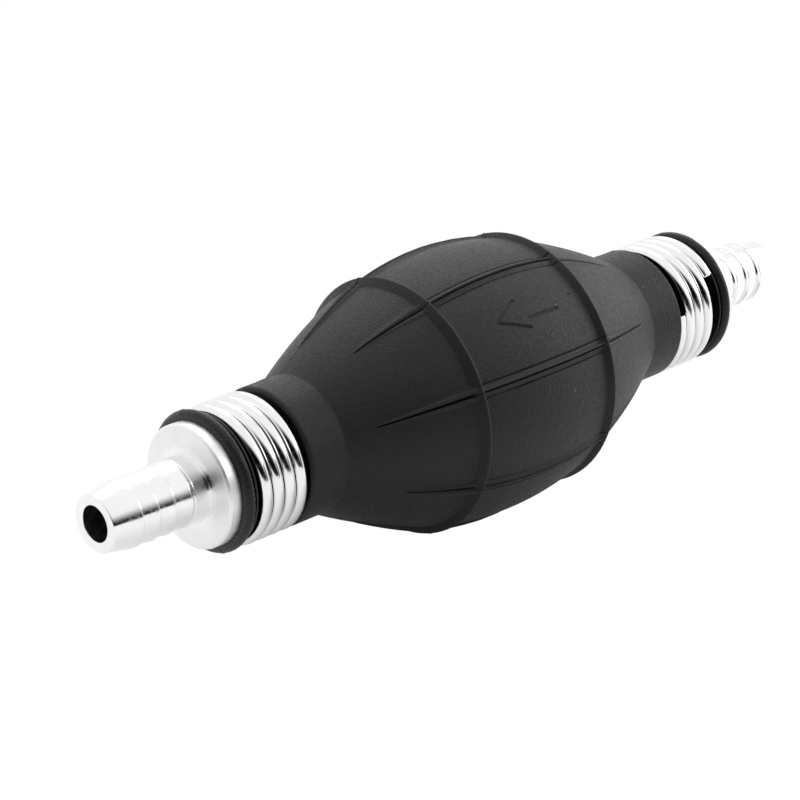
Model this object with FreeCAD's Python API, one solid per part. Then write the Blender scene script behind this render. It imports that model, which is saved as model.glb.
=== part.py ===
"""Siphon bulb pump: an in-line hand primer for a 12 mm fuel or water hose.

A ribbed rubber bulb carries a turned aluminium hose fitting in each neck, held
by a coil clamp. A spring-loaded check valve sits in each fitting, so squeezing
the bulb moves liquid from the inlet (+X) to the outlet (-X). Millimetres, +Z up,
flow axis along X, origin at the middle of the bulb. Profiles are drawn as
(distance from the middle along the axis, radius).
"""

import math
import os

import FreeCAD
import Part

# Overall
HALF_LENGTH = 99.5
FLANGE_FRONT = 76.2
FLANGE_BACK = 73.2
FLANGE_RADIUS = 13.0

# Rubber bulb
BELLY_RADIUS = 29.2
RING_RIB_X = 18.9
RING_RIB_BASE_RADIUS = 26.9
RING_RIB_HEIGHT = 1.2
RING_RIB_HALF_WIDTH = 1.5
JUNCTION_X = 46.5
CONE_SAGITTA = 0.75
NECK_RADIUS = 15.0
BELLY_WALL = 3.2
RIB_COUNT = 8
RIB_HEIGHT = 0.9
RIB_WIDTH = 1.6
RIB_TIP_X = 40.0
RIB_ROOT_DEPTH = 1.0
LIP_RADIUS = 14.9
LIP_ROUND = 1.4
GROOVE_FLOOR_RADIUS = 11.55
GROOVE_INNER_X = 54.8
NECK_SHOULDER_ROUND = 1.2
POCKET_CLEARANCE = 0.6
POCKET_TAPER_END = 4.0

# Squeezed walls of the bulb
WALL_DISC_RADIUS = 18.0
WALL_GAP = 0.3

# Coil clamp
WIRE_RADIUS = 1.5
CLAMP_PITCH = 3.05
CLAMP_TURNS = 3.93
CLAMP_FLANGE_END_X = 68.6
CLAMP_END_ANGLE = {"outlet": 68, "inlet": 142}

# Hose fitting
BORE_RADIUS = 3.8
TIP_RADIUS = 5.95
CREST_RADIUS = 7.1
VALLEY_RADIUS = 6.5
CRESTS_X = (92.9, 88.8, 84.7, 80.6)
CREST_LAND = 0.3
ROOT_GROOVE = 0.5
SPIGOT_END = 55.0
SPIGOT_RADIUS = 9.6
SPIGOT_GROOVES_X = (60.0, 64.0, 68.0)
SPIGOT_GROOVE_DEPTH = 0.5
COUNTERBORE_RADIUS = 7.6
COUNTERBORE_END = 72.2
EDGE = 0.4

# Check valve cartridge, measured downstream from its seat end
CARTRIDGE_LENGTH = 14.9
HOUSING_RADIUS = 7.5
HOUSING_BORE = 5.5
PORT_RADIUS = 3.6
SEAT_WALL = 2.0
SEAT_LIP = 0.4
SEAT_LIP_RADIUS = 4.3
GUIDE_SEAT = 12.0
GUIDE_RADIUS = 6.0
SEAL_GAP = 0.02
SEAL_THICKNESS = 1.0
POPPET_RADIUS = 4.6
POPPET_THICKNESS = 1.5
NOSE_RADIUS = 2.0
NOSE_HEAD_RADIUS = 2.3
STEM_RADIUS = 1.2
STEM_CLEARANCE = 0.05
STEM_END = 13.6
NOSE_HEAD_THICKNESS = 0.8
ORING_GROOVE_RADIUS = 6.3
ORING_GROOVE_WIDTH = 1.8
ORING_CENTRE = 7.4
SPRING_WIRE_RADIUS = 0.25
SPRING_COIL_RADIUS = 2.2
SPRING_TURNS = 6
SPRING_END_GAP = 0.25
GUIDE_RIM_BORE = 5.0
GUIDE_HUB_RADIUS = 2.6
GUIDE_HUB_LENGTH = 2.0
GUIDE_SPOKES = 3
SPOKE_WIDTH = 1.2
CLIP_THICKNESS = 0.8
CLIP_RADIUS = 8.15
CLIP_GROOVE_RADIUS = 8.2
CLIP_INNER_RADIUS = 6.4
CLIP_GAP_HALF = 1.5
CLIP_EYE_RADIUS = 0.95
CLIP_EYE_HOLE = 0.4

# How far the solids used only for cutting reach past the piece they cut
CUT_MARGIN = 5.0

X_AXIS = FreeCAD.Vector(1, 0, 0)
Y_AXIS = FreeCAD.Vector(0, 1, 0)
Z_AXIS = FreeCAD.Vector(0, 0, 1)
ORIGIN = FreeCAD.Vector(0, 0, 0)
END_SIGN = {"outlet": -1, "inlet": 1}
CARTRIDGE_START = {"outlet": -(COUNTERBORE_END - CARTRIDGE_LENGTH), "inlet": COUNTERBORE_END}


def point(x, radius):
    """A point of a half profile, in the XZ plane."""
    return FreeCAD.Vector(x, 0, radius)


def line(start, end):
    return Part.LineSegment(point(*start), point(*end)).toShape()


def arc(start, middle, end):
    return Part.Arc(point(*start), point(*middle), point(*end)).toShape()


def turned(edges):
    """The solid of revolution about X of a closed half profile."""
    face = Part.Face(Part.Wire(edges))
    return face.revolve(ORIGIN, X_AXIS, 360)


def turned_points(points):
    """The solid of revolution of a half profile with straight sides."""
    corners = list(points) + [points[0]]
    return turned([line(a, b) for a, b in zip(corners, corners[1:])])


def disc(start, end, radius):
    """A cylinder on the X axis between two stations."""
    base = FreeCAD.Vector(min(start, end), 0, 0)
    return Part.makeCylinder(radius, abs(end - start), base, X_AXIS)


def mirrored_station(shape, sign):
    """A piece drawn at the +X end, turned half a turn about Z for the -X end."""
    if sign < 0:
        shape.rotate(ORIGIN, Z_AXIS, 180)
    return shape


def bulge(start, end, sagitta):
    """The middle of an arc that stands out from its chord by the sagitta."""
    run = end[0] - start[0]
    rise = end[1] - start[1]
    chord = math.hypot(run, rise)
    middle_x = (start[0] + end[0]) / 2 - sagitta * rise / chord
    middle_radius = (start[1] + end[1]) / 2 + sagitta * run / chord
    return middle_x, middle_radius


def belly_edges(offset):
    """Belly from one neck junction to the other, offset outward or, if negative, inward."""
    junction = (JUNCTION_X, NECK_RADIUS + offset)
    ring = (RING_RIB_X, RING_RIB_BASE_RADIUS + offset)
    crown = (0, BELLY_RADIUS + offset)
    left_junction = (-junction[0], junction[1])
    left_ring = (-ring[0], ring[1])
    left_middle = bulge(left_junction, left_ring, CONE_SAGITTA)
    right_middle = bulge(ring, junction, CONE_SAGITTA)
    return [
        arc(left_junction, left_middle, left_ring),
        arc(left_ring, crown, ring),
        arc(ring, right_middle, junction),
    ]


def neck_edges(sign):
    """Outside of one neck, from its end face at the flange to the belly junction."""
    bore = (sign * FLANGE_BACK, SPIGOT_RADIUS)
    lip_outer = (sign * FLANGE_BACK, LIP_RADIUS - LIP_ROUND)
    lip_top = (sign * (FLANGE_BACK - LIP_ROUND), LIP_RADIUS)
    lip_inner = (sign * (FLANGE_BACK - 2 * LIP_ROUND), LIP_RADIUS - LIP_ROUND)
    floor_outer = (lip_inner[0], GROOVE_FLOOR_RADIUS)
    floor_inner = (sign * GROOVE_INNER_X, GROOVE_FLOOR_RADIUS)
    shoulder_low = (floor_inner[0], NECK_RADIUS - NECK_SHOULDER_ROUND)
    corner = NECK_SHOULDER_ROUND * (1 - math.sqrt(0.5))
    shoulder_middle = (sign * (GROOVE_INNER_X - corner), NECK_RADIUS - corner)
    shoulder_top = (sign * (GROOVE_INNER_X - NECK_SHOULDER_ROUND), NECK_RADIUS)
    junction = (sign * JUNCTION_X, NECK_RADIUS)
    return [
        line(bore, lip_outer),
        arc(lip_outer, lip_top, lip_inner),
        line(lip_inner, floor_outer),
        line(floor_outer, floor_inner),
        line(floor_inner, shoulder_low),
        arc(shoulder_low, shoulder_middle, shoulder_top),
        line(shoulder_top, junction),
    ]


def bulb_cavity():
    """The space inside the bulb: two neck bores and the belly."""
    neck_inside = NECK_RADIUS - BELLY_WALL
    left = [
        (-FLANGE_BACK, 0),
        (-FLANGE_BACK, SPIGOT_RADIUS),
        (-SPIGOT_END + POCKET_CLEARANCE, SPIGOT_RADIUS),
        (-SPIGOT_END + POCKET_TAPER_END, neck_inside),
        (-JUNCTION_X, neck_inside),
    ]
    right = [(-x, radius) for x, radius in reversed(left)]
    edges = [line(a, b) for a, b in zip(left, left[1:])]
    edges += belly_edges(-BELLY_WALL)
    edges += [line(a, b) for a, b in zip(right, right[1:])]
    edges.append(line(right[-1], left[0]))
    return turned(edges)


def ring_rib(sign):
    """One of the two ribs that run round the belly, sharp at its crest."""
    foot = RING_RIB_BASE_RADIUS - RIB_ROOT_DEPTH
    crest = RING_RIB_BASE_RADIUS + RING_RIB_HEIGHT
    centre = sign * RING_RIB_X
    return turned_points([
        (centre - RING_RIB_HALF_WIDTH, foot),
        (centre - RING_RIB_HALF_WIDTH, RING_RIB_BASE_RADIUS),
        (centre, crest),
        (centre + RING_RIB_HALF_WIDTH, RING_RIB_BASE_RADIUS),
        (centre + RING_RIB_HALF_WIDTH, foot),
    ])


def long_ribs():
    """The lengthwise ribs: full height between the ring ribs, running out on the cones."""
    ring_top = RING_RIB_BASE_RADIUS + RIB_HEIGHT
    along = (RIB_TIP_X - RING_RIB_X) / (JUNCTION_X - RING_RIB_X)
    tip_radius = RING_RIB_BASE_RADIUS + (NECK_RADIUS - RING_RIB_BASE_RADIUS) * along
    left_tip, left_ring = (-RIB_TIP_X, tip_radius), (-RING_RIB_X, ring_top)
    right_tip, right_ring = (RIB_TIP_X, tip_radius), (RING_RIB_X, ring_top)
    left_root = (-RIB_TIP_X, tip_radius - RIB_ROOT_DEPTH)
    right_root = (RIB_TIP_X, tip_radius - RIB_ROOT_DEPTH)
    raised = turned([
        line(left_root, left_tip),
        arc(left_tip, bulge(left_tip, left_ring, CONE_SAGITTA), left_ring),
        arc(left_ring, (0, BELLY_RADIUS + RIB_HEIGHT), right_ring),
        arc(right_ring, bulge(right_ring, right_tip, CONE_SAGITTA), right_tip),
        line(right_tip, right_root),
        line(right_root, left_root),
    ])
    reach_x = RIB_TIP_X + CUT_MARGIN
    reach_y = BELLY_RADIUS + CUT_MARGIN
    ribs = []
    for index in range(RIB_COUNT // 2):
        slab = Part.makeBox(2 * reach_x, 2 * reach_y, RIB_WIDTH)
        slab.translate(FreeCAD.Vector(-reach_x, -reach_y, -RIB_WIDTH / 2))
        slab.rotate(ORIGIN, X_AXIS, 360 / RIB_COUNT * (index + 0.5))
        ribs.append(raised.common(slab))
    return ribs


def whole_bulb():
    """The moulded bulb in one piece, before its squeezed walls are parted from it."""
    left = neck_edges(-1)
    right = neck_edges(1)
    closing = line((FLANGE_BACK, SPIGOT_RADIUS), (FLANGE_BACK, 0))
    axis = line((FLANGE_BACK, 0), (-FLANGE_BACK, 0))
    opening = line((-FLANGE_BACK, 0), (-FLANGE_BACK, SPIGOT_RADIUS))
    body = turned(Part.sortEdges(left + belly_edges(0) + right + [closing, axis, opening])[0])
    ribs = long_ribs() + [ring_rib(-1), ring_rib(1)]
    return body.fuse(ribs).cut(bulb_cavity())


def wall_plug(radius, sign):
    """A vertical cylinder through one side of the belly."""
    return Part.makeCylinder(radius, BELLY_RADIUS + CUT_MARGIN, ORIGIN, Z_AXIS * sign)


def bulb_pieces():
    """The bulb, and the two walls that a hand presses inward."""
    moulding = whole_bulb()
    top = moulding.common(wall_plug(WALL_DISC_RADIUS - WALL_GAP, 1))
    bottom = moulding.common(wall_plug(WALL_DISC_RADIUS - WALL_GAP, -1))
    rest = moulding.cut([wall_plug(WALL_DISC_RADIUS, 1), wall_plug(WALL_DISC_RADIUS, -1)])
    return rest, top, bottom


def barb_points():
    """Outside of the barbs from the root at the flange to the tip."""
    points = [(FLANGE_FRONT, CREST_RADIUS), (CRESTS_X[-1] - ROOT_GROOVE, CREST_RADIUS)]
    for crest_x in reversed(CRESTS_X):
        points.append((crest_x - ROOT_GROOVE / 2, VALLEY_RADIUS))
        points.append((crest_x, CREST_RADIUS))
        points.append((crest_x + CREST_LAND, CREST_RADIUS))
    points.append((HALF_LENGTH - EDGE, TIP_RADIUS))
    points.append((HALF_LENGTH, TIP_RADIUS - EDGE))
    return points


def spigot_points():
    """Outside of the spigot, with its retaining grooves, from its end to the flange."""
    points = [(SPIGOT_END, SPIGOT_RADIUS - EDGE), (SPIGOT_END + EDGE, SPIGOT_RADIUS)]
    for groove_x in SPIGOT_GROOVES_X:
        points.append((groove_x - SPIGOT_GROOVE_DEPTH, SPIGOT_RADIUS))
        points.append((groove_x, SPIGOT_RADIUS - SPIGOT_GROOVE_DEPTH))
        points.append((groove_x + SPIGOT_GROOVE_DEPTH, SPIGOT_RADIUS))
    return points


def fitting(sign):
    """The turned fitting: barbed tail, flange and the spigot that holds the check valve."""
    flange = [
        (FLANGE_BACK, SPIGOT_RADIUS),
        (FLANGE_BACK, FLANGE_RADIUS),
        (FLANGE_FRONT - EDGE, FLANGE_RADIUS),
        (FLANGE_FRONT, FLANGE_RADIUS - EDGE),
    ]
    bore = [
        (HALF_LENGTH, BORE_RADIUS),
        (COUNTERBORE_END, BORE_RADIUS),
        (COUNTERBORE_END, COUNTERBORE_RADIUS),
        (SPIGOT_END, COUNTERBORE_RADIUS),
    ]
    solid = turned_points(spigot_points() + flange + barb_points() + bore)
    clip_end = COUNTERBORE_END - CARTRIDGE_LENGTH
    clip_groove = disc(clip_end - CLIP_THICKNESS, clip_end, CLIP_GROOVE_RADIUS)
    return mirrored_station(solid.cut(clip_groove), sign)


def helix_path(pitch, turns, coil_radius):
    """A right-handed helix about Z from the +X side, in equal edges of at most half a turn."""
    count = math.ceil(2 * turns)
    share = turns / count
    edges = []
    for index in range(count):
        piece = Part.makeHelix(pitch, pitch * share, coil_radius)
        piece.rotate(ORIGIN, Z_AXIS, 360 * share * index)
        piece.translate(Z_AXIS * (pitch * share * index))
        edges += piece.Edges
    return Part.Wire(edges)


def coil(start_x, start_angle, pitch, turns, coil_radius, wire_radius):
    """A right-handed wire coil about X; angles run from +Y towards +Z."""
    path = helix_path(pitch, turns, coil_radius)
    tangent = FreeCAD.Vector(0, 2 * math.pi * coil_radius, pitch)
    section = Part.makeCircle(wire_radius, FreeCAD.Vector(coil_radius, 0, 0), tangent)
    wire = path.makePipeShell([Part.Wire(section)], True, True)
    wire.rotate(ORIGIN, Y_AXIS, 90)
    wire.rotate(ORIGIN, X_AXIS, start_angle + 90)
    wire.translate(FreeCAD.Vector(start_x, 0, 0))
    return wire


def clamp(end):
    """The coil clamp in the groove of one neck, with its flange-side wire end at the set angle."""
    length = CLAMP_PITCH * CLAMP_TURNS
    if end == "outlet":
        start_x = -CLAMP_FLANGE_END_X
        start_angle = CLAMP_END_ANGLE[end]
    else:
        start_x = CLAMP_FLANGE_END_X - length
        start_angle = CLAMP_END_ANGLE[end] - 360 * CLAMP_TURNS
    return coil(start_x, start_angle, CLAMP_PITCH, CLAMP_TURNS, LIP_RADIUS - WIRE_RADIUS, WIRE_RADIUS)


def valve_housing():
    """The cartridge body: port, raised seat lip, bore, guide step and O-ring groove."""
    lip_face = SEAT_WALL + SEAT_LIP
    body = turned_points([
        (0, PORT_RADIUS),
        (0, HOUSING_RADIUS - EDGE),
        (EDGE, HOUSING_RADIUS),
        (CARTRIDGE_LENGTH, HOUSING_RADIUS),
        (CARTRIDGE_LENGTH, GUIDE_RADIUS),
        (GUIDE_SEAT, GUIDE_RADIUS),
        (GUIDE_SEAT, HOUSING_BORE),
        (SEAT_WALL, HOUSING_BORE),
        (SEAT_WALL, SEAT_LIP_RADIUS),
        (lip_face, SEAT_LIP_RADIUS),
        (lip_face, PORT_RADIUS),
    ])
    groove_start = ORING_CENTRE - ORING_GROOVE_WIDTH / 2
    groove_end = ORING_CENTRE + ORING_GROOVE_WIDTH / 2
    groove = disc(groove_start, groove_end, HOUSING_RADIUS + CUT_MARGIN)
    core = disc(groove_start, groove_end, ORING_GROOVE_RADIUS)
    return body.cut(groove.cut(core))


def valve_oring():
    """The ring that seals the cartridge in its counterbore."""
    ring_radius = (ORING_GROOVE_RADIUS + COUNTERBORE_RADIUS) / 2
    section_radius = (COUNTERBORE_RADIUS - ORING_GROOVE_RADIUS) / 2
    centre = FreeCAD.Vector(ORING_CENTRE, 0, 0)
    return Part.makeTorus(ring_radius, section_radius, centre, X_AXIS)


def seal_face():
    return SEAT_WALL + SEAT_LIP + SEAL_GAP


def poppet_back():
    return seal_face() + SEAL_THICKNESS + POPPET_THICKNESS


def valve_poppet():
    """The moving disc, with a nose that holds the seal and a stem that runs in the guide."""
    seal_back = seal_face() + SEAL_THICKNESS
    nose_start = seal_face() - NOSE_HEAD_THICKNESS
    return turned_points([
        (nose_start, 0),
        (nose_start, NOSE_HEAD_RADIUS),
        (seal_face(), NOSE_HEAD_RADIUS),
        (seal_face(), NOSE_RADIUS),
        (seal_back, NOSE_RADIUS),
        (seal_back, POPPET_RADIUS),
        (poppet_back(), POPPET_RADIUS),
        (poppet_back(), STEM_RADIUS),
        (STEM_END, STEM_RADIUS),
        (STEM_END, 0),
    ])


def valve_seal():
    """The soft washer on the face of the poppet."""
    start = seal_face()
    end = start + SEAL_THICKNESS
    return disc(start, end, POPPET_RADIUS).cut(disc(start, end, NOSE_RADIUS))


def valve_spring():
    """The closing spring between the back of the poppet and the guide."""
    first = poppet_back() + SPRING_WIRE_RADIUS + SPRING_END_GAP
    last = GUIDE_SEAT - SPRING_WIRE_RADIUS - SPRING_END_GAP
    pitch = (last - first) / SPRING_TURNS
    return coil(first, 0, pitch, SPRING_TURNS, SPRING_COIL_RADIUS, SPRING_WIRE_RADIUS)


def valve_guide():
    """The spider that guides the stem and backs the spring."""
    rim = disc(GUIDE_SEAT, CARTRIDGE_LENGTH, GUIDE_RADIUS)
    rim = rim.cut(disc(GUIDE_SEAT, CARTRIDGE_LENGTH, GUIDE_RIM_BORE))
    hub_end = GUIDE_SEAT + GUIDE_HUB_LENGTH
    spokes = []
    for index in range(GUIDE_SPOKES):
        spoke = Part.makeBox(GUIDE_HUB_LENGTH, GUIDE_RIM_BORE + EDGE, SPOKE_WIDTH)
        spoke.translate(FreeCAD.Vector(GUIDE_SEAT, 0, -SPOKE_WIDTH / 2))
        spoke.rotate(ORIGIN, X_AXIS, 360 / GUIDE_SPOKES * index)
        spokes.append(spoke)
    spider = rim.fuse(spokes + [disc(GUIDE_SEAT, hub_end, GUIDE_HUB_RADIUS)])
    return spider.cut(disc(GUIDE_SEAT, hub_end, STEM_RADIUS + STEM_CLEARANCE))


def retaining_ring():
    """The internal ring that keeps the cartridge in, with an eye at each end for pliers."""
    start = -CLIP_THICKNESS
    ring = disc(start, 0, CLIP_RADIUS).cut(disc(start, 0, CLIP_INNER_RADIUS))
    gap = Part.makeBox(CLIP_THICKNESS, 2 * CLIP_GAP_HALF, CLIP_RADIUS + CUT_MARGIN)
    gap.translate(FreeCAD.Vector(start, -CLIP_GAP_HALF, 0))
    ring = ring.cut(gap)
    for side in (-1, 1):
        eye_y = side * (CLIP_GAP_HALF + CLIP_EYE_RADIUS)
        eye_z = math.sqrt(CLIP_INNER_RADIUS ** 2 - eye_y ** 2)
        base = FreeCAD.Vector(start, eye_y, eye_z)
        eye = Part.makeCylinder(CLIP_EYE_RADIUS, CLIP_THICKNESS, base, X_AXIS)
        hole = Part.makeCylinder(CLIP_EYE_HOLE, CLIP_THICKNESS, base, X_AXIS)
        ring = ring.fuse(eye).cut(hole)
    return ring


def in_cartridge(shape, end):
    """Turn a piece drawn downstream along +X to flow along -X, and put it in its fitting."""
    shape.rotate(ORIGIN, Z_AXIS, 180)
    shape.translate(FreeCAD.Vector(CARTRIDGE_START[end], 0, 0))
    return shape


def fitted_ring(end, sign):
    """The retaining ring in its groove, on the bulb side of the cartridge."""
    ring = retaining_ring()
    ring.translate(FreeCAD.Vector(COUNTERBORE_END - CARTRIDGE_LENGTH, 0, 0))
    return mirrored_station(ring, sign)


def end_nodes(end, sign):
    """Every piece at one end of the pump, by node name."""
    nodes = {
        f"{end}_fitting": fitting(sign),
        f"{end}_clamp": clamp(end),
        f"{end}_retaining_ring": fitted_ring(end, sign),
    }
    makers = {
        "valve_housing": valve_housing,
        "valve_oring": valve_oring,
        "valve_poppet": valve_poppet,
        "valve_seal": valve_seal,
        "valve_spring": valve_spring,
        "valve_guide": valve_guide,
    }
    for name, make in makers.items():
        nodes[f"{end}_{name}"] = in_cartridge(make(), end)
    return nodes


def main():
    os.makedirs("parts", exist_ok=True)
    bulb, top_wall, bottom_wall = bulb_pieces()
    nodes = {"bulb": bulb, "bulb_top_wall": top_wall, "bulb_bottom_wall": bottom_wall}
    for end, sign in END_SIGN.items():
        nodes.update(end_nodes(end, sign))
    for name, shape in nodes.items():
        shape.exportStep(f"parts/{name}.step")


main()
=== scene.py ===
"""Looks of the siphon bulb pump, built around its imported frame.

Profiles are (distance along the flow axis, radius) in millimetres. Angles about the
axis are in degrees, from +Y towards +Z. A mesh is made in metres, in the frame's own place.
"""

import math

import bpy
import numpy as np
from mathutils import Matrix, Vector


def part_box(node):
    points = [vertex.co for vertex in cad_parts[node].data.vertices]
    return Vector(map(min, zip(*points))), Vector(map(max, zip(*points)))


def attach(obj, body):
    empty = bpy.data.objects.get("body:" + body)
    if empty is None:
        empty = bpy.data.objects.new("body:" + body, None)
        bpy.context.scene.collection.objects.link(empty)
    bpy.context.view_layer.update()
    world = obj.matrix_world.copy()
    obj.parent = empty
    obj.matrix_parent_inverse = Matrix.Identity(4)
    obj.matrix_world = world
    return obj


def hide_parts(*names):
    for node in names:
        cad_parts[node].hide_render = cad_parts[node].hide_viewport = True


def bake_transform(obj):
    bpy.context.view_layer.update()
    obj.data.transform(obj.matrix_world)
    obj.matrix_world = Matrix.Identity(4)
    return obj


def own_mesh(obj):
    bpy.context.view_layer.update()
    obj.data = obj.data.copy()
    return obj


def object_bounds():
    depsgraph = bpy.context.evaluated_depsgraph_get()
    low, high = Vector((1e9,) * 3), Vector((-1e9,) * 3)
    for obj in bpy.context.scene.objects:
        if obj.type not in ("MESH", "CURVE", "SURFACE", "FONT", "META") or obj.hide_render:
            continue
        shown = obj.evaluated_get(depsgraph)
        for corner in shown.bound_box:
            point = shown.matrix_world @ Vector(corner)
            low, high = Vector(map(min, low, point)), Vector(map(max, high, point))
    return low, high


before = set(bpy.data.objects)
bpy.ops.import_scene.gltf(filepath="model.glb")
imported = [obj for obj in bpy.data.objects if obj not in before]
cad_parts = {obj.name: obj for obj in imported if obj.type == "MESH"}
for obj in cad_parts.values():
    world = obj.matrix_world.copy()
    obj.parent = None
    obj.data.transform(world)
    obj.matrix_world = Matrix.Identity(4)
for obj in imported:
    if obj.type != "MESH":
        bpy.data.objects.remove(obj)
cad_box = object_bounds()

MM = 0.001
ENDS = {"outlet": -1, "inlet": 1}
TIP_X = cad_box[1][0] / MM

# Camera: angles in degrees, lens and sensor in millimetres, places in metres
CAMERA_AZIMUTH = -44.175
CAMERA_ELEVATION = 23.729
CAMERA_LENS = 127.58
CAMERA_SENSOR = 36
CAMERA_DISTANCE = 0.608443
CAMERA_RIGHT = -0.012703
CAMERA_UP = -0.004033

# Rubber bulb. The belly is an arc between the two ring ribs, whose crests stand a little towards the outlet
CROWN_RADIUS = 29.2
RING_X = 18.9
RING_BASE_RADIUS = 26.9
RING_SHIFT = -0.3
RING_HEIGHT = 1.3
RING_HALF_WIDTH = 1.5
RING_CREST_ROUND = 0.24
JUNCTION_X = 46.5
CONE_SAGITTA = 0.8
NECK_RADIUS = 14.9
SHOULDER_X = 56.2
SHOULDER_ROUND = 0.9
GROOVE_RADIUS = 11.95
RIDGE_X = (69.9, 70.35)
RIDGE_RADIUS = 14.0
VALLEY_RADIUS = 12.8
LIP_X = (70.8, 73.2)
LIP_RADIUS = 14.95
LIP_DROP = 1.4
WALL = 3.2
SPIGOT_RADIUS = 9.6
INNER_NECK_RADIUS = NECK_RADIUS - WALL
SPIGOT_END_X = 55.0
STEP_WIDTH = 0.02

# Lengthwise ribs: angle, side that the narrow bead is on, and on the outlet cone the tip's
# distance from the middle, the lean of the tip in degrees and how high the beads are
LONG_RIBS = (
    (22.5, 1, 39.5, 0, 1.35),
    (67.0, 1, 39.5, 0, 1.35),
    (110.5, 1, 37.0, -3, 0.75),
    (156.8, 1, 41.0, 0, 1.35),
    (202.1, -1, 35.0, 1.5, 1.35),
    (247.5, -1, 39.5, 0, 1.35),
    (292.5, -1, 39.5, 0, 1.35),
    (337.5, -1, 39.5, 0, 1.35),
)
OUTLET_RIB_WIDTH = 1.3
INLET_TIP_X = 39.5
INLET_RIB_RISE = 0.7
INLET_RIB_RUN_IN = 1.4
TIP_WIDTH = 0.15
FADE_POWER = 0.6
WIDE_BEAD = (-1.6, 0.75)
NARROW_BEAD = (1.3, 0.42)
MIDDLE_BEAD_LEAN = 2.8
GROOVE_HALF_WIDTH = 0.2
GROOVE_DEPTH = 0.05
OUTLET_GROOVE_DEPTH = 0.3
INLET_GROOVE_DEPTH = 0.2
CREASE_DEPTH = 0.24
CREASE_HALF_WIDTH = 0.17

# Parting line and engraving
PARTING_ANGLES = (67.0, 247.5)
FLASH_HEIGHT = 0.22
FLASH_HALF_WIDTH = 0.28
ARROW_DEPTH = 0.32
ARROW_HALF_WIDTH = 0.42
ARROW_TIP = (-8.7, 131.8)
ARROW_STROKES = (
    (ARROW_TIP, (-1.7, 125.3)),
    (ARROW_TIP, (-1.3, 138.5)),
    ((-0.3, 134.6), (8.3, 134.6)),
)
PIP = (14.2, 130.2)
PIP_RADIUS = 0.4
PIP_DEPTH = 0.8 * ARROW_DEPTH

# Clamps and springs
CLAMP_WIRE = 1.42
CLAMP_OUTER_RADIUS = 14.95
CLAMP_PITCH = 3.05
CLAMP_TURNS = 3.93
CLAMP_END_ANGLE = {"outlet": 68, "inlet": 142}
SPRING_WIRE = 0.25
SPRING_TURNS = 6

# Finishes, with distances in millimetres
RUBBER_DARK = (0.0015, 0.0015, 0.0016)
RUBBER_LIGHT = (0.004, 0.004, 0.0042)
SPECK = (0.20, 0.20, 0.20)
LIP_GLOSS = 0.2
LIP_GLOSS_X = (69.5, 70.5)
FLANGE_DULLNESS = 0.27
FLANGE_DULLNESS_RADII = (7.6, 9.0)
# Painted shade between the turns of a clamp coil: the dark colour the wire is painted, and the radii over
# which it darkens
PAINTED_SHADE_COLOUR = (0.02, 0.02, 0.02)
CLAMP_PAINTED_SHADE_RADII = (13.85, 14.1)

# Studio, in metres: the sky goes from dark to bright as its direction turns to the bright side,
# and the floor's glow from none to full with the distance from the shaded place
BRIGHT_SIDE = (0.70, 0.71, 0.80)
SKY_STRENGTH = (0.0, 1.0)
SKY_RAMP = (-0.45, 0.05)
FLOOR_SIZE = 6.0
FLOOR_GAP = 0.0001
FLOOR_GLOW = (0.0, 0.17)
FLOOR_SHADE_PLACE = (-0.03, -0.03)
FLOOR_SHADE_RADII = (0.012, 0.05)

# Area lights, aimed at the middle of the bulb: place, width and height in metres, and power in watts
LIGHTS = {
    "top_softbox": ((0.5, 0.55, 0.8), (0.8, 0.8), 2.6),
    "back_right_light": ((0.9, -0.1, 0.2), (0.5, 0.5), 1.3),
    "front_right_light": ((0.60, -0.62, 0.50), (0.4, 0.3), 0.9),
}

# Black card, in metres from the middle of the bulb
FLAG_AZIMUTH = -48.9
FLAG_DISTANCE = 0.2
FLAG_SPAN = (-0.105, -0.025)
FLAG_HEIGHTS = (-0.016, 0.08)

# Hose fittings
FLANGE_X = (73.2, 76.2)
FLANGE_CHAMFER = 0.45
BORE_RADIUS = 3.8
TIP_RADIUS = 5.95
BARB_CREST_RADIUS = 7.1
BARB_VALLEY_RADIUS = 6.5
BARB_CRESTS_X = (80.6, 84.7, 88.8, 92.9)
BARB_LAND = 0.3
BARB_STEP = 0.25
BARB_ROOT_STEP = 0.5
SPIGOT_GROOVES_X = (60.0, 64.0, 68.0)
SPIGOT_GROOVE_DEPTH = 0.5
EDGE_ROUND = 0.13
COUNTERBORE_RADIUS = 7.6
COUNTERBORE_END_X = 72.2
CLIP_GROOVE_X = (56.5, 57.3)
CLIP_GROOVE_RADIUS = 8.2


# ---------------------------------------------------------------- meshes

def piece(name, vertices, faces, material, sharp_angle=35):
    """A smooth-shaded mesh object from points in millimetres."""
    mesh = bpy.data.meshes.new(name)
    mesh.from_pydata((np.asarray(vertices) * MM).tolist(), [], faces)
    mesh.validate()
    mesh.shade_smooth()
    mesh.set_sharp_from_angle(angle=math.radians(sharp_angle))
    mesh.materials.append(material)
    thing = bpy.data.objects.new(name, mesh)
    bpy.context.scene.collection.objects.link(thing)
    return thing


def grid_faces(rows, columns, first=0, wrap_rows=False, wrap_columns=False, flip=False):
    """Quads of a grid of vertices that is numbered row by row."""
    faces = []
    for row in range(rows if wrap_rows else rows - 1):
        for column in range(columns if wrap_columns else columns - 1):
            a = first + row * columns + column
            b = first + row * columns + (column + 1) % columns
            below = ((row + 1) % rows) * columns
            c = first + below + (column + 1) % columns
            d = first + below + column
            faces.append((a, d, c, b) if flip else (a, b, c, d))
    return faces


def around_axis(x, radius, degrees):
    """Points about the flow axis."""
    angle = np.radians(degrees)
    x, radius, angle = np.broadcast_arrays(x, radius, angle)
    return np.stack([x, radius * np.cos(angle), radius * np.sin(angle)], axis=-1)


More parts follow.
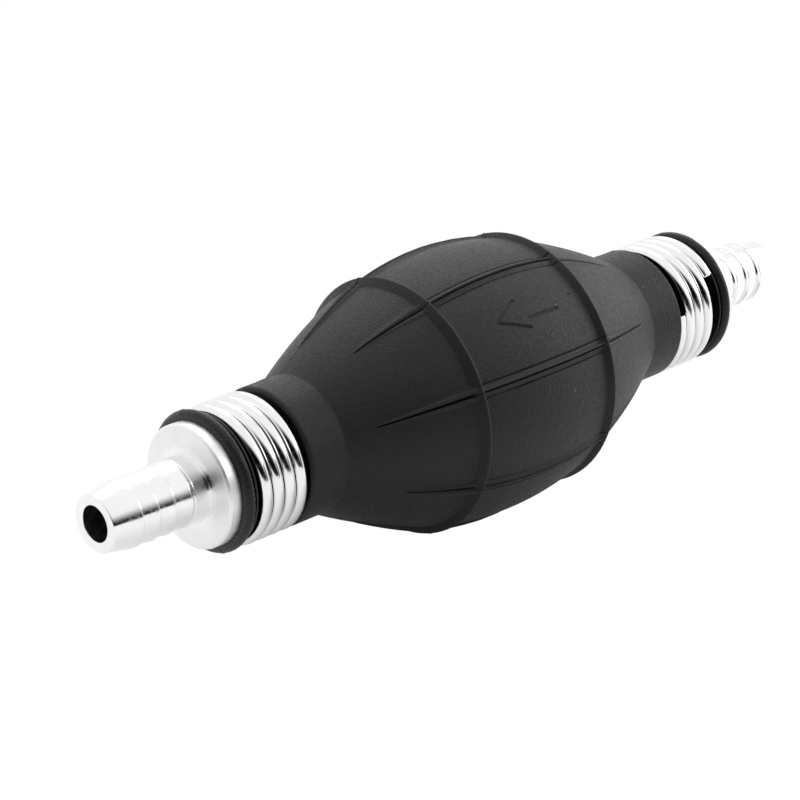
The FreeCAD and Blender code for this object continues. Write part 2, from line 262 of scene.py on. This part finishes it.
def rounded(profile, radius, steps=3):
    """A closed profile with each corner rounded, and a point beside each round that keeps flats flat."""
    result = []
    count = len(profile)
    for index in range(count):
        corner = np.array(profile[index], float)
        before = np.array(profile[index - 1], float) - corner
        after = np.array(profile[(index + 1) % count], float) - corner
        reach = min(radius, 0.3 * np.linalg.norm(before), 0.3 * np.linalg.norm(after))
        start = corner + before / np.linalg.norm(before) * reach
        end = corner + after / np.linalg.norm(after) * reach
        result.append(corner + (start - corner) * 1.5)
        for step in range(steps + 1):
            t = step / steps
            result.append((1 - t) ** 2 * start + 2 * t * (1 - t) * corner + t * t * end)
        result.append(corner + (end - corner) * 1.5)
    return result


def lathe(name, profile, sign, material, segments=160):
    """A turned piece from a closed profile; sign -1 puts it at the -X end."""
    points = np.array(profile)
    angles = np.arange(segments) * 360 / segments
    grid = around_axis(sign * points[:, :1], points[:, 1:], angles[None, :])
    faces = grid_faces(len(points), segments, wrap_rows=True, wrap_columns=True, flip=sign < 0)
    return piece(name, grid.reshape(-1, 3), faces, material)


def helix_tube(name, middle_x, start_angle, pitch, turns, coil_radius, wire, material,
               steps_per_turn=96, sides=28):
    """A right-handed wire coil with flat, chamfered ends."""
    chamfer = wire * 0.16
    length = turns * math.hypot(2 * math.pi * coil_radius, pitch)
    count = int(turns * steps_per_turn)
    along = np.concatenate([[0], np.linspace(chamfer / length, 1 - chamfer / length, count), [1]])
    width = np.full(len(along), wire)
    width[0] = width[-1] = wire - chamfer
    angle = np.radians(start_angle) + 2 * math.pi * turns * along
    outward = np.stack([np.zeros_like(angle), np.cos(angle), np.sin(angle)], axis=-1)
    forward = np.stack([np.zeros_like(angle), -np.sin(angle), np.cos(angle)], axis=-1)
    tangent = forward * 2 * math.pi * coil_radius
    tangent[:, 0] = pitch
    tangent /= np.linalg.norm(tangent, axis=1)[:, None]
    across = np.cross(tangent, outward)
    centre = outward * coil_radius
    centre[:, 0] = middle_x + pitch * turns * (along - 0.5)
    turn = np.linspace(0, 2 * math.pi, sides, endpoint=False)
    ring = (np.cos(turn)[None, :, None] * outward[:, None, :]
            + np.sin(turn)[None, :, None] * across[:, None, :])
    grid = centre[:, None, :] + width[:, None, None] * ring
    rows = len(along)
    faces = grid_faces(rows, sides, wrap_columns=True)
    faces.append(tuple(range(sides - 1, -1, -1)))
    faces.append(tuple(range((rows - 1) * sides, rows * sides)))
    return piece(name, grid.reshape(-1, 3), faces, material)


# ---------------------------------------------------------------- rubber bulb

def circle_radius(x, half_chord, end_radius, crown):
    """Radius on the arc that has its crown at x = 0 and passes the end of the half chord."""
    rise = crown - end_radius
    arc = (half_chord ** 2 + rise ** 2) / (2 * rise)
    return crown - arc + np.sqrt(arc ** 2 - x ** 2)


def base_radius(x):
    """Plain moulding, without its ribs, at a distance from the middle."""
    x = np.abs(x)
    middle = circle_radius(np.minimum(x, RING_X), RING_X, RING_BASE_RADIUS, CROWN_RADIUS)
    t = np.clip((x - RING_X) / (JUNCTION_X - RING_X), 0, 1)
    cone = RING_BASE_RADIUS + (NECK_RADIUS - RING_BASE_RADIUS) * t + 4 * CONE_SAGITTA * t * (1 - t)
    over = np.clip(x - (SHOULDER_X - SHOULDER_ROUND), 0, SHOULDER_ROUND)
    shoulder = NECK_RADIUS - SHOULDER_ROUND + np.sqrt(SHOULDER_ROUND ** 2 - over ** 2)
    lip_middle = sum(LIP_X) / 2
    lip_half = (LIP_X[1] - LIP_X[0]) / 2
    lip_across = np.clip(np.abs(x - lip_middle) / lip_half, 0, 1)
    lip = LIP_RADIUS - LIP_DROP * (1 - np.sqrt(1 - lip_across ** 2))
    radius = np.where(x <= RING_X, middle, cone)
    radius = np.where(x > JUNCTION_X, shoulder, radius)
    radius = np.where(x > SHOULDER_X, GROOVE_RADIUS, radius)
    radius = np.where(x >= RIDGE_X[0], RIDGE_RADIUS, radius)
    radius = np.where(x >= RIDGE_X[1], VALLEY_RADIUS, radius)
    return np.where(x >= LIP_X[0], lip, radius)


def ring_rib(x):
    """Rise of the two ribs that run round the belly, with a small round at the crest."""
    distance = np.abs(x - RING_SHIFT) - RING_X
    down = np.hypot(distance, RING_CREST_ROUND) - RING_CREST_ROUND
    return RING_HEIGHT * np.clip(1 - down / (RING_HALF_WIDTH - RING_CREST_ROUND), 0, 1)


def bead(distance, foot, height, lean):
    """A bead that rises and falls between its foot and the middle of the rib, and leans to the middle."""
    along = np.clip(1 - distance / foot, 0, 1)
    return np.where(distance * foot >= 0, height * np.sin(math.pi * along ** lean), 0)


def dip(distance, half_width):
    """A smooth dip of depth one."""
    return np.clip(1 - (distance / half_width) ** 2, 0, 1)


def long_rib(x, theta, radius):
    """Rise of the lengthwise ribs, each a wide and a narrow bead with a groove between them.

    On the belly a crease runs along each foot. On the cones the ribs run out to wedge tips.
    """
    rise = np.zeros_like(radius)
    middle = np.abs(x) < RING_X
    cones = [x < -RING_X, x > RING_X]
    bead_lean = np.where(middle, MIDDLE_BEAD_LEAN, 1.0)
    groove_depth = np.select(cones, [OUTLET_GROOVE_DEPTH, INLET_GROOVE_DEPTH], GROOVE_DEPTH)
    rib_width = np.where(cones[0], OUTLET_RIB_WIDTH, 1.0)
    inlet_rise = INLET_RIB_RISE * np.clip((x - RING_X) / INLET_RIB_RUN_IN, 0, 1)
    for angle, side, outlet_tip, tip_lean, outlet_rise in LONG_RIBS:
        tip = np.where(x < 0, outlet_tip, INLET_TIP_X)
        fade = np.clip((tip - np.abs(x)) / (tip - RING_X), 0, 1)
        leaning = tip_lean * np.where(x < 0, 1 - fade, 0)
        turn = (theta - angle - leaning + 180) % 360 - 180
        distance = side * np.radians(turn) * radius
        width = (TIP_WIDTH + (1 - TIP_WIDTH) * fade) * rib_width
        scale = fade ** FADE_POWER * np.select(cones, [outlet_rise, inlet_rise], 1.0)
        for foot, height in (WIDE_BEAD, NARROW_BEAD):
            rise += bead(distance, foot * width, height * scale, bead_lean)
            rise -= CREASE_DEPTH * middle * dip(distance - foot * width, CREASE_HALF_WIDTH)
        rise -= np.sign(fade) * groove_depth * dip(distance, GROOVE_HALF_WIDTH)
    return rise


def parting_flash(x, theta, radius):
    """The thin, uneven line left where the two halves of the mould met."""
    uneven = 0.45 + 0.3 * np.sin(0.61 * x + 1.0) * np.sin(0.23 * x + 0.4) + 0.16 * np.sin(1.37 * x + 2.0)
    rise = np.zeros_like(radius)
    for angle in PARTING_ANGLES:
        turn = (theta - angle + 180) % 360 - 180
        distance = np.radians(turn) * radius
        rise += FLASH_HEIGHT * np.clip(uneven, 0, 1) * np.exp(-(distance / FLASH_HALF_WIDTH) ** 2)
    return rise


def engraving(x, theta, radius):
    """Depth of the flow arrow and the small pip behind it."""
    across = np.radians(theta) * CROWN_RADIUS
    depth = np.zeros_like(radius)
    for start, end in ARROW_STROKES:
        start_point = np.array([start[0], math.radians(start[1]) * CROWN_RADIUS])
        end_point = np.array([end[0], math.radians(end[1]) * CROWN_RADIUS])
        run = end_point - start_point
        t = ((x - start_point[0]) * run[0] + (across - start_point[1]) * run[1]) / (run @ run)
        t = np.clip(t, 0, 1)
        gap = np.hypot(x - start_point[0] - t * run[0], across - start_point[1] - t * run[1])
        groove = np.clip(1 - (gap / ARROW_HALF_WIDTH) ** 2, 0, 1)
        depth = np.maximum(depth, ARROW_DEPTH * groove)
    gap = np.hypot(x - PIP[0], across - math.radians(PIP[1]) * CROWN_RADIUS)
    return np.maximum(depth, PIP_DEPTH * np.clip(1 - (gap / PIP_RADIUS) ** 2, 0, 1))


def stations_x():
    """Distances from the middle at which the outside is sampled, close where it turns sharply."""
    half = np.concatenate([
        np.arange(0, JUNCTION_X, 1.0),
        np.arange(0, 10, 0.22),
        np.arange(PIP[0] - 0.6, PIP[0] + 0.6, 0.15),
        np.arange(RING_X - RING_HALF_WIDTH - 0.8, RING_X + RING_HALF_WIDTH + 0.9, 0.08),
        [JUNCTION_X - 0.3, JUNCTION_X, JUNCTION_X + 0.3],
        np.arange(JUNCTION_X + 1, SHOULDER_X - SHOULDER_ROUND, 0.5),
        SHOULDER_X - SHOULDER_ROUND * (1 - np.sin(np.radians(np.arange(0, 91, 15)))),
        [SHOULDER_X + STEP_WIDTH],
        np.arange(SHOULDER_X + 0.5, RIDGE_X[0], 0.7),
        [RIDGE_X[0] - STEP_WIDTH, RIDGE_X[0], RIDGE_X[1] - STEP_WIDTH, RIDGE_X[1], LIP_X[0] - STEP_WIDTH],
        sum(LIP_X) / 2 - (LIP_X[1] - LIP_X[0]) / 2 * np.cos(np.radians(np.arange(0, 181, 12))),
    ])
    half = np.unique(np.round(half, 4))
    return np.concatenate([-half[:0:-1], half])


def stations_theta(first, last):
    """Angles at which the outside of one half is sampled, close at ribs and at the arrow."""
    near_rib = np.arange(0, 4.2, 0.2)
    angles = [np.arange(first, last + 0.1, 2.0)]
    for rib in LONG_RIBS:
        angles.append([rib[0] + side * step for side in (-1, 1) for step in near_rib])
    angles.append(np.arange(124, 141, 0.36))
    angles = np.unique(np.round(np.concatenate(angles), 3))
    return angles[(angles >= first) & (angles <= last)]


def inner_radius(x):
    """Inside of the bulb: neck bores round the spigots, then the belly."""
    distance = np.abs(x)
    belly = np.maximum(base_radius(np.minimum(distance, JUNCTION_X)) - WALL, INNER_NECK_RADIUS)
    return np.where(distance > SPIGOT_END_X, SPIGOT_RADIUS, belly)


def outside(x, theta):
    """The outside of the moulding at each pair of a station and an angle."""
    grid_x, grid_theta = np.meshgrid(x, theta, indexing="ij")
    plain = base_radius(grid_x)
    belly = np.abs(grid_x) <= JUNCTION_X
    ring = ring_rib(grid_x)
    long = np.where(belly, long_rib(grid_x, grid_theta, plain), 0)
    raised = np.where(ring > long, np.maximum(ring, 0) + np.minimum(long, 0), long)
    radius = plain + raised + parting_flash(grid_x, grid_theta, plain)
    radius -= np.where(belly, engraving(grid_x, grid_theta, plain), 0)
    return around_axis(grid_x, radius, grid_theta)


def bulb_half(name, first, last, material):
    """One half of the bulb as a closed shell, split level with the flow axis."""
    x = stations_x()
    theta = stations_theta(first, last)
    outer = outside(x, theta)
    inner_half = np.concatenate([
        np.arange(0, JUNCTION_X, 3),
        [JUNCTION_X, SPIGOT_END_X - STEP_WIDTH, SPIGOT_END_X + STEP_WIDTH, LIP_X[1]],
    ])
    inner_x = np.concatenate([-inner_half[:0:-1], inner_half])
    inner_theta = np.linspace(first, last, 61)
    inner = around_axis(inner_x[:, None], inner_radius(inner_x)[:, None], inner_theta[None, :])
    rows, columns = len(x), len(theta)
    inner_rows, inner_columns = len(inner_x), len(inner_theta)
    base = rows * columns
    faces = grid_faces(rows, columns)
    faces += grid_faces(inner_rows, inner_columns, first=base, flip=True)
    outer_ids = np.arange(base).reshape(rows, columns)
    inner_ids = base + np.arange(inner_rows * inner_columns).reshape(inner_rows, inner_columns)
    # The cut faces on both sides, then the faces at both ends
    faces.append(tuple(outer_ids[::-1, 0].tolist() + inner_ids[:, 0].tolist()))
    faces.append(tuple(outer_ids[:, -1].tolist() + inner_ids[::-1, -1].tolist()))
    faces.append(tuple(outer_ids[0, :].tolist() + inner_ids[0, ::-1].tolist()))
    faces.append(tuple(outer_ids[-1, ::-1].tolist() + inner_ids[-1, :].tolist()))
    vertices = np.concatenate([outer.reshape(-1, 3), inner.reshape(-1, 3)])
    return piece(name, vertices, faces, material, sharp_angle=50)


def make_bulb(material):
    """Two half shells that take the place of the bulb and its two walls."""
    upper = bulb_half("bulb_upper_shell", 0, 180, material)
    lower = bulb_half("bulb_lower_shell", 180, 360, material)
    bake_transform(upper)
    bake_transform(lower)
    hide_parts("bulb", "bulb_top_wall")
    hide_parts("bulb_bottom_wall")


# ---------------------------------------------------------------- metal pieces

def fitting_profile(flange_radius):
    """The closed half profile of one hose fitting."""
    profile = [(TIP_X, BORE_RADIUS), (TIP_X, TIP_RADIUS)]
    for crest_x in reversed(BARB_CRESTS_X):
        profile += [
            (crest_x + BARB_LAND, BARB_CREST_RADIUS),
            (crest_x, BARB_CREST_RADIUS),
            (crest_x - BARB_STEP, BARB_VALLEY_RADIUS),
        ]
    profile += [
        (BARB_CRESTS_X[0] - BARB_ROOT_STEP, BARB_CREST_RADIUS),
        (FLANGE_X[1], BARB_CREST_RADIUS),
        (FLANGE_X[1], flange_radius - FLANGE_CHAMFER),
        (FLANGE_X[1] - FLANGE_CHAMFER, flange_radius),
        (FLANGE_X[0], flange_radius),
        (FLANGE_X[0], SPIGOT_RADIUS),
    ]
    for groove_x in reversed(SPIGOT_GROOVES_X):
        profile += [
            (groove_x + SPIGOT_GROOVE_DEPTH, SPIGOT_RADIUS),
            (groove_x, SPIGOT_RADIUS - SPIGOT_GROOVE_DEPTH),
            (groove_x - SPIGOT_GROOVE_DEPTH, SPIGOT_RADIUS),
        ]
    profile += [
        (SPIGOT_END_X, SPIGOT_RADIUS),
        (SPIGOT_END_X, COUNTERBORE_RADIUS),
        (CLIP_GROOVE_X[0], COUNTERBORE_RADIUS),
        (CLIP_GROOVE_X[0], CLIP_GROOVE_RADIUS),
        (CLIP_GROOVE_X[1], CLIP_GROOVE_RADIUS),
        (CLIP_GROOVE_X[1], COUNTERBORE_RADIUS),
        (COUNTERBORE_END_X, COUNTERBORE_RADIUS),
        (COUNTERBORE_END_X, BORE_RADIUS),
    ]
    return profile


def make_fitting(end, material):
    """The turned hose fitting of one end."""
    flange_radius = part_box(f"{end}_fitting")[1][2] / MM
    profile = rounded(fitting_profile(flange_radius), EDGE_ROUND)
    fitting = lathe(f"{end}_fitting_turned", profile, ENDS[end], material)
    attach(fitting, "pump_body")
    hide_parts(f"{end}_fitting")


def make_clamp(end, material):
    """The coil of wire that clamps one neck, with a cut end where the real one has it."""
    low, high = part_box(f"{end}_clamp")
    middle_x = (low[0] + high[0]) / 2 / MM
    coil_radius = CLAMP_OUTER_RADIUS - CLAMP_WIRE
    start_angle = CLAMP_END_ANGLE[end]
    if end == "inlet":
        start_angle -= 360 * CLAMP_TURNS
    clamp = helix_tube(f"{end}_clamp_wire", middle_x, start_angle, CLAMP_PITCH, CLAMP_TURNS,
                       coil_radius, CLAMP_WIRE, material)
    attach(clamp, "pump_body")
    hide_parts(f"{end}_clamp")


def make_spring(end, material):
    """The closing spring, a coil of wire as long and wide as the CAD spring."""
    low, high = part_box(f"{end}_valve_spring")
    length = (high[0] - low[0]) / MM - 2 * SPRING_WIRE
    coil_radius = (high[2] - low[2]) / 2 / MM - SPRING_WIRE
    spring = helix_tube(f"{end}_closing_spring", (low[0] + high[0]) / 2 / MM, 0, length / SPRING_TURNS,
                        SPRING_TURNS, coil_radius, SPRING_WIRE, material,
                        steps_per_turn=48, sides=16)
    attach(spring, "pump_body")
    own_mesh(spring)
    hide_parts(f"{end}_valve_spring")


# ---------------------------------------------------------------- materials

class Nodes:
    """A short way to write a material's node tree."""

    def __init__(self, name):
        self.material = bpy.data.materials.new(name)
        self.material.use_nodes = True
        self.tree = self.material.node_tree
        self.shader = self.tree.nodes["Principled BSDF"]

    def add(self, kind, settings=None, **inputs):
        node = self.tree.nodes.new("ShaderNode" + kind)
        for key, value in (settings or {}).items():
            setattr(node, key, value)
        for key, value in inputs.items():
            self.join(node, key.replace("_", " "), value)
        return node

    def join(self, node, key, value):
        socket = node.inputs[int(key) if key.isdigit() else key]
        if isinstance(value, bpy.types.NodeSocket):
            self.tree.links.new(value, socket)
        else:
            socket.default_value = value

    def math(self, operation, a, b=0.0):
        node = self.add("Math", {"operation": operation})
        self.join(node, "0", a)
        self.join(node, "1", b)
        return node.outputs[0]

    def place(self):
        return self.add("TexCoord").outputs["Object"]

    def axis_radius(self, place):
        """Distance from the flow axis."""
        split = self.add("SeparateXYZ", Vector=place)
        y, z = split.outputs["Y"], split.outputs["Z"]
        return self.math("SQRT", self.math("ADD", self.math("MULTIPLY", y, y), self.math("MULTIPLY", z, z)))

    def noise(self, vector, scale, detail=3.0, rough=0.55):
        node = self.add("TexNoise", Vector=vector, Scale=scale, Detail=detail, Roughness=rough)
        return node.outputs["Fac"]

    def between(self, value, low, high, to_low, to_high):
        node = self.add("MapRange", Value=value, From_Min=low, From_Max=high, To_Min=to_low, To_Max=to_high)
        return node.outputs["Result"]

    def blend(self, factor, first, second):
        node = self.add("Mix", {"data_type": "RGBA"})
        self.join(node, "0", factor)
        self.join(node, "6", (*first, 1) if isinstance(first, tuple) else first)
        self.join(node, "7", (*second, 1) if isinstance(second, tuple) else second)
        return node.outputs[2]

    def bump(self, height, strength, distance, normal=None):
        node = self.add("Bump", Height=height, Strength=strength, Distance=distance)
        if normal is not None:
            self.join(node, "Normal", normal)
        return node.outputs["Normal"]

    def finish(self, **inputs):
        for key, value in inputs.items():
            if isinstance(value, tuple) and len(value) == 3:
                value = (*value, 1)
            self.join(self.shader, key.replace("_", " "), value)
        return self.material


def rubber_material():
    """Matte moulded rubber: fine grain, cloudy bloom, a few light specks, and a glossier lip at each end."""
    n = Nodes("moulded_rubber")
    place = n.place()
    cloud = n.noise(place, 90, 4)
    grain = n.noise(place, 1900, 3, 0.7)
    orange_peel = n.noise(place, 700, 3)
    specks = n.add("TexVoronoi", Vector=place, Scale=260.0).outputs["Distance"]
    speck = n.between(specks, 0.05, 0.09, 1.0, 0.0)
    rare = n.between(n.noise(place, 60, 1), 0.58, 0.64, 0.0, 0.5)
    colour = n.blend(n.between(cloud, 0.3, 0.7, 0, 1), RUBBER_DARK, RUBBER_LIGHT)
    colour = n.blend(n.math("MULTIPLY", speck, rare), colour, SPECK)
    station = n.math("ABSOLUTE", n.add("SeparateXYZ", Vector=place).outputs["X"])
    lip_gloss = n.between(station, LIP_GLOSS_X[0] * MM, LIP_GLOSS_X[1] * MM, 0.0, LIP_GLOSS)
    rough = n.math("SUBTRACT", n.between(grain, 0.35, 0.65, 0.36, 0.58), lip_gloss)
    normal = n.bump(orange_peel, 0.4, 0.00012)
    normal = n.bump(grain, 1.0, 0.00018, normal)
    return n.finish(Base_Color=colour, Roughness=rough, Normal=normal, Specular_IOR_Level=0.37)


def turned_metal(name, colour, rough_low, rough_high, depth, anisotropy):
    """Bright metal with fine marks round the flow axis, as a lathe leaves, and a duller flange face."""
    n = Nodes(name)
    place = n.place()
    radius = n.axis_radius(place)
    along = n.add("SeparateXYZ", Vector=place).outputs["X"]
    station = n.add("CombineXYZ", X=along, Y=radius).outputs[0]
    marks = n.noise(station, 5200, 4, 0.65)
    wear = n.noise(place, 160, 4)
    tone = n.blend(n.between(wear, 0.3, 0.7, 0, 1), tuple(0.95 * c for c in colour), colour)
    bright_radius, dull_radius = FLANGE_DULLNESS_RADII
    flange = n.between(radius, bright_radius * MM, dull_radius * MM, 0.0, FLANGE_DULLNESS)
    dull_patch = n.between(n.noise(place, 900, 3, 0.7), 0.42, 0.6, 0.0, 0.09)
    turned = n.between(marks, 0.3, 0.7, rough_low, rough_high)
    rough = n.math("ADD", turned, n.math("ADD", flange, dull_patch))
    tangent = n.add("Tangent", {"direction_type": "RADIAL", "axis": "X"}).outputs[0]
    return n.finish(Base_Color=tone, Metallic=1.0, Roughness=rough, Anisotropic=anisotropy,
                    Tangent=tangent, Normal=n.bump(marks, 0.4, depth))


def wire_metal(name, colour, rough_low, rough_high, painted_shade_radii=None):
    """Drawn wire: smooth, with faint scuffs. Between two radii its colour is painted darker towards the
    inner one, a painted shade between the turns of a coil.
    """
    n = Nodes(name)
    place = n.place()
    scuff = n.noise(place, 420, 4, 0.6)
    tone = n.blend(scuff, tuple(0.9 * c for c in colour), colour)
    if painted_shade_radii:
        # Painted shade: the colour goes dark towards the inner radius, where the turns of a coil meet
        shaded_radius, unshaded_radius = painted_shade_radii
        unshaded = n.between(n.axis_radius(place), shaded_radius * MM, unshaded_radius * MM, 0.0, 1.0)
        tone = n.blend(unshaded, PAINTED_SHADE_COLOUR, tone)
    rough = n.between(scuff, 0.35, 0.7, rough_low, rough_high)
    return n.finish(Base_Color=tone, Metallic=1.0, Roughness=rough,
                    Normal=n.bump(n.noise(place, 1500, 3), 0.12, 0.00003))


def moulded_plastic(name, dark, light, rough_low, rough_high):
    """Moulded plastic with a faint texture and slight unevenness of colour."""
    n = Nodes(name)
    place = n.place()
    cloud = n.noise(place, 220, 3)
    return n.finish(Base_Color=n.blend(cloud, dark, light),
                    Roughness=n.between(cloud, 0.3, 0.7, rough_low, rough_high),
                    Normal=n.bump(n.noise(place, 3000, 2), 0.2, 0.00004))


def paint_inner_nodes(materials):
    """The CAD pieces inside the fittings keep their shape and get a finished material."""
    finish = {
        "retaining_ring": "steel",
        "valve_housing": "acetal",
        "valve_oring": "nitrile",
        "valve_poppet": "black_acetal",
        "valve_seal": "nitrile",
        "valve_guide": "black_acetal",
    }
    for end in ENDS:
        for name, key in finish.items():
            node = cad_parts[f"{end}_{name}"]
            node.data.materials.clear()
            node.data.materials.append(materials[key])


# ---------------------------------------------------------------- stage

def make_camera():
    """A long lens above and to one side of the outlet end."""
    azimuth, elevation = math.radians(CAMERA_AZIMUTH), math.radians(CAMERA_ELEVATION)
    right = Vector((math.cos(azimuth), math.sin(azimuth), 0))
    back = Vector((math.sin(azimuth) * math.cos(elevation), -math.cos(azimuth) * math.cos(elevation),
                   math.sin(elevation)))
    up = back.cross(right)
    data = bpy.data.cameras.new("camera")
    data.lens = CAMERA_LENS
    data.sensor_width = CAMERA_SENSOR
    camera = bpy.data.objects.new("camera", data)
    place = right * CAMERA_RIGHT + up * CAMERA_UP + back * CAMERA_DISTANCE
    turn = Matrix((right, up, back)).transposed().to_4x4()
    camera.matrix_world = Matrix.Translation(place) @ turn
    bpy.context.scene.collection.objects.link(camera)
    bpy.context.scene.camera = camera


def make_floor():
    """A pale floor that the bulb's belly rests on, with a glow that is shaded under the outlet cone.

    Seen directly it is plain white.
    """
    half = FLOOR_SIZE / 2
    height = -CROWN_RADIUS * MM - FLOOR_GAP
    mesh = bpy.data.meshes.new("floor")
    corners = [(-half, -half, height), (half, -half, height), (half, half, height), (-half, half, height)]
    mesh.from_pydata(corners, [], [(0, 1, 2, 3)])
    floor = bpy.data.objects.new("floor", mesh)
    bpy.context.scene.collection.objects.link(floor)
    n = Nodes("floor_white")
    n.shader.inputs["Base Color"].default_value = (0.8, 0.8, 0.8, 1)
    n.shader.inputs["Roughness"].default_value = 0.9
    n.shader.inputs["Emission Color"].default_value = (1, 1, 1, 1)
    away = n.add("VectorMath", {"operation": "DISTANCE"})
    n.join(away, "0", n.place())
    n.join(away, "1", (*FLOOR_SHADE_PLACE, height))
    glow = n.between(away.outputs["Value"], *FLOOR_SHADE_RADII, *FLOOR_GLOW)
    n.join(n.shader, "Emission Strength", glow)
    white = n.add("Emission", Color=(1, 1, 1, 1), Strength=1.0)
    direct = n.add("LightPath").outputs["Is Camera Ray"]
    mix = n.add("MixShader")
    n.join(mix, "0", direct)
    n.join(mix, "1", n.shader.outputs[0])
    n.join(mix, "2", white.outputs[0])
    output = n.tree.nodes["Material Output"]
    n.tree.links.new(mix.outputs[0], output.inputs["Surface"])
    mesh.materials.append(n.material)


def area_light(name, place, size, power):
    """A rectangular light that faces the middle of the bulb."""
    data = bpy.data.lights.new(name, "AREA")
    data.shape = "RECTANGLE"
    data.size, data.size_y = size
    data.energy = power
    light = bpy.data.objects.new(name, data)
    light.location = place
    light.rotation_euler = (-Vector(place)).to_track_quat("-Z", "Y").to_euler()
    bpy.context.scene.collection.objects.link(light)


def make_world():
    """A soft studio: bright above, behind and beside the object, and dark towards the camera."""
    world = bpy.data.worlds.new("studio")
    bpy.context.scene.world = world
    world.use_nodes = True
    tree = world.node_tree
    direction = tree.nodes.new("ShaderNodeTexCoord").outputs["Generated"]
    towards = tree.nodes.new("ShaderNodeVectorMath")
    towards.operation = "DOT_PRODUCT"
    towards.inputs[1].default_value = BRIGHT_SIDE
    tree.links.new(direction, towards.inputs[0])
    ramp = tree.nodes.new("ShaderNodeMapRange")
    ramp.interpolation_type = "SMOOTHSTEP"
    ramp.inputs["From Min"].default_value = SKY_RAMP[0]
    ramp.inputs["From Max"].default_value = SKY_RAMP[1]
    ramp.inputs["To Min"].default_value = SKY_STRENGTH[0]
    ramp.inputs["To Max"].default_value = SKY_STRENGTH[1]
    tree.links.new(towards.outputs["Value"], ramp.inputs["Value"])
    tree.links.new(ramp.outputs[0], tree.nodes["Background"].inputs["Strength"])
    tree.nodes["Background"].inputs["Color"].default_value = (1, 1, 1, 1)


def make_flag():
    """A black card on the camera's right, seen only in reflections, that gives the metal its dark band."""
    angle = math.radians(FLAG_AZIMUTH)
    outward = Vector((math.cos(angle), math.sin(angle), 0))
    along = Vector((-math.sin(angle), math.cos(angle), 0))
    centre = outward * FLAG_DISTANCE
    left, right = FLAG_SPAN
    low, high = FLAG_HEIGHTS
    corners = []
    for across, height in ((left, low), (right, low), (right, high), (left, high)):
        corners.append(tuple(centre + along * across + Vector((0, 0, height))))
    mesh = bpy.data.meshes.new("black_flag")
    mesh.from_pydata(corners, [], [(0, 1, 2, 3)])
    flag = bpy.data.objects.new("black_flag", mesh)
    bpy.context.scene.collection.objects.link(flag)
    n = Nodes("flag_black")
    mesh.materials.append(n.finish(Base_Color=(0.08, 0.08, 0.08), Roughness=1.0))
    flag.visible_camera = False
    flag.visible_diffuse = False
    flag.visible_shadow = False


def make_lights():
    for name, (place, size, power) in LIGHTS.items():
        area_light(name, place, size, power)


def main():
    bpy.context.scene.view_settings.view_transform = "Standard"
    aluminium = turned_metal("turned_aluminium", (0.93, 0.93, 0.935), 0.05, 0.16, 0.000010, 0.2)
    wire = wire_metal("bright_wire", (0.92, 0.92, 0.93), 0.1, 0.2, CLAMP_PAINTED_SHADE_RADII)
    spring = wire_metal("spring_wire", (0.62, 0.62, 0.63), 0.18, 0.3)
    inner = {
        "steel": wire_metal("ring_steel", (0.58, 0.58, 0.59), 0.2, 0.35),
        "acetal": moulded_plastic("white_acetal", (0.76, 0.75, 0.70), (0.82, 0.81, 0.76), 0.35, 0.5),
        "black_acetal": moulded_plastic("black_acetal", (0.09, 0.09, 0.10), (0.13, 0.13, 0.14), 0.35, 0.5),
        "nitrile": moulded_plastic("nitrile", (0.035, 0.033, 0.033), (0.055, 0.05, 0.05), 0.4, 0.55),
    }
    make_camera()
    make_bulb(rubber_material())
    for end in ENDS:
        make_fitting(end, aluminium)
        make_clamp(end, wire)
        make_spring(end, spring)
    paint_inner_nodes(inner)
    make_floor()
    make_world()
    make_flag()
    make_lights()


main()
